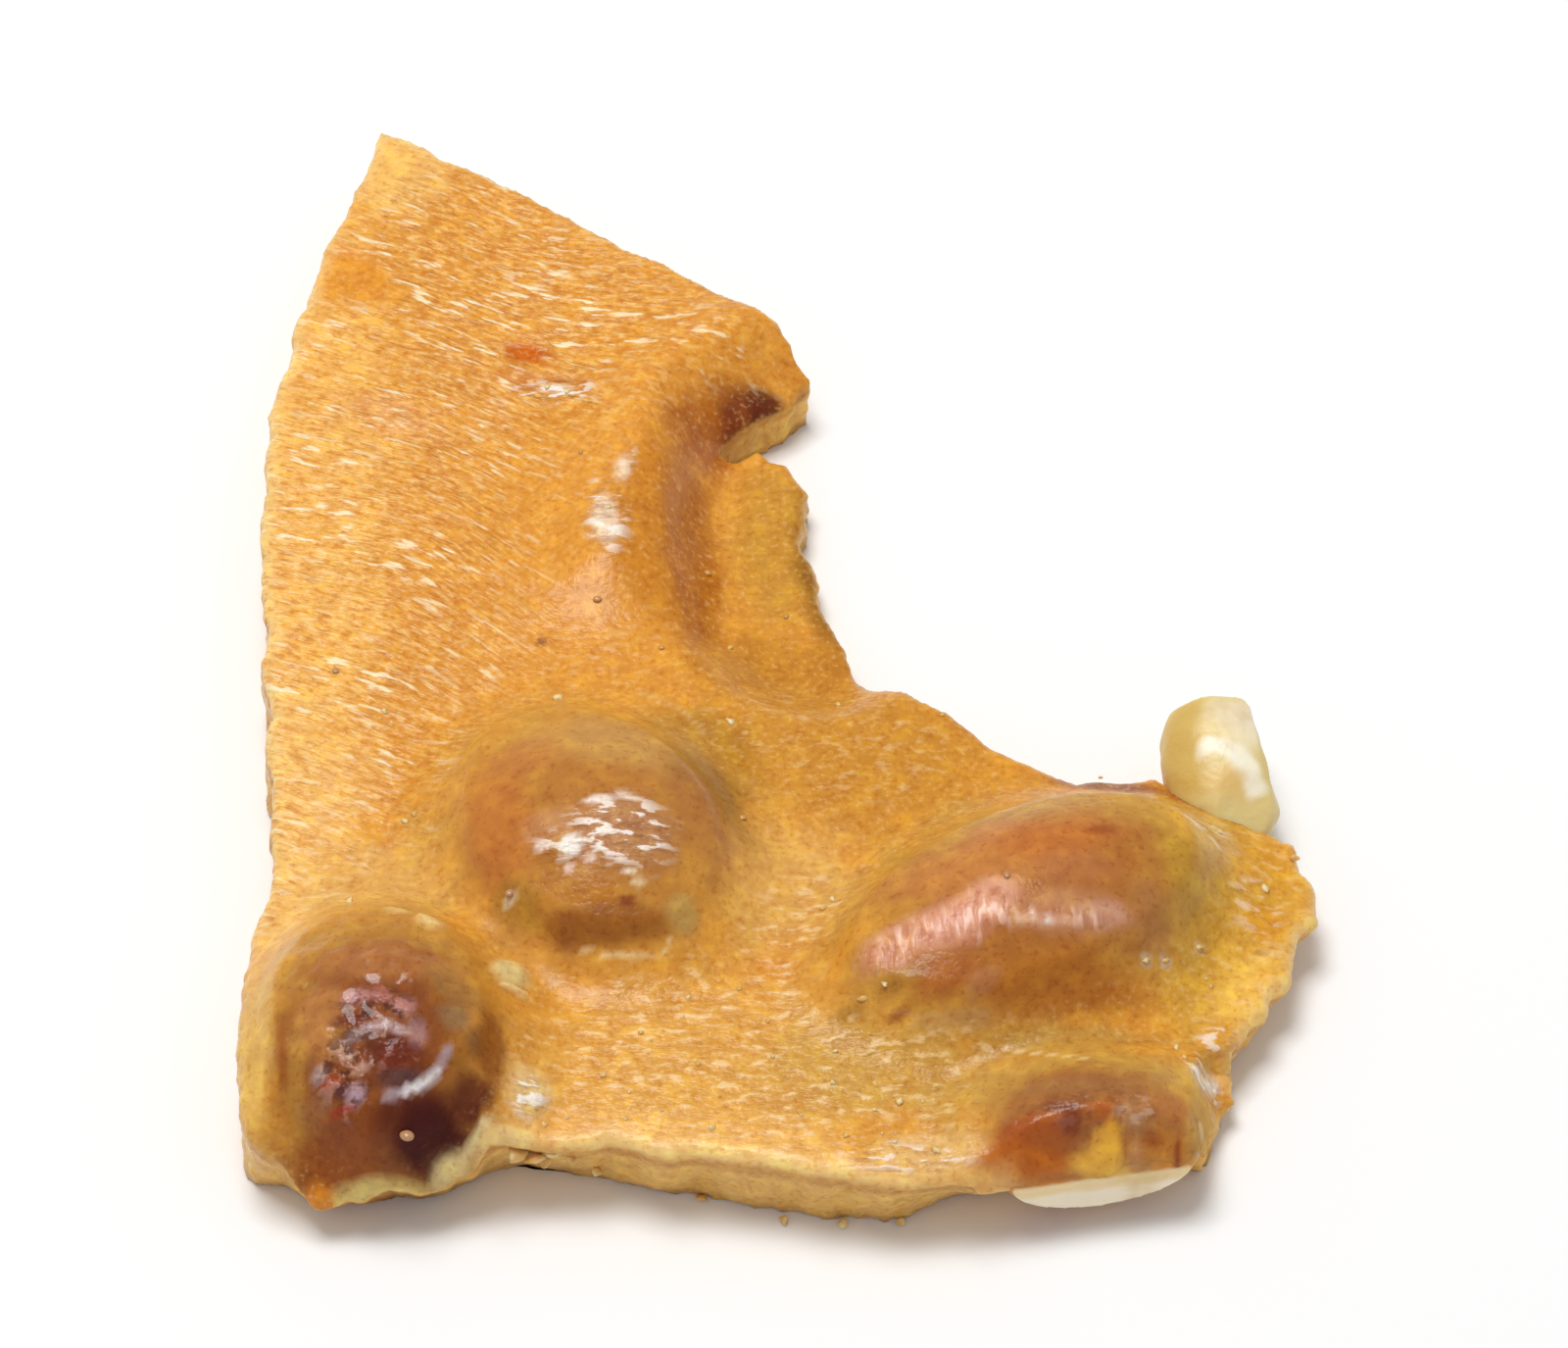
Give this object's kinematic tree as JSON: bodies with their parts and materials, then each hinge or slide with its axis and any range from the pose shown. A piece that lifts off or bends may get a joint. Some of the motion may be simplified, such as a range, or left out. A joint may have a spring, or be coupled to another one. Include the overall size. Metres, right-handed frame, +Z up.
{
  "type": "peanut brittle",
  "caption": "Flat irregular shard of golden peanut brittle, with whole and broken redskin peanuts swelling up through the candy and crumbly fractured edges.",
  "frame": {"origin": "middle of the flat underside's box, on the surface the shard lies on", "axes": "+Z up from the flat underside, +Y along the shard's length towards its long tip, +X towards the thin lobe"},
  "size_m": [0.0503, 0.0658, 0.0088],
  "materials": {
    "candy": "aerated boiled sugar candy, satin and slightly translucent, golden amber",
    "peanut_skin": "roasted papery red-brown peanut skin, glazed with candy",
    "peanut_flesh": "cream broken face of a roasted peanut"
  },
  "bodies": {
    "root": {"candy_slab": "candy", "peanut_1": "peanut_skin", "peanut_2": "peanut_skin", "peanut_3": "peanut_skin", "peanut_4": "peanut_skin", "peanut_5": "peanut_flesh"}
  },
  "joints": []
}
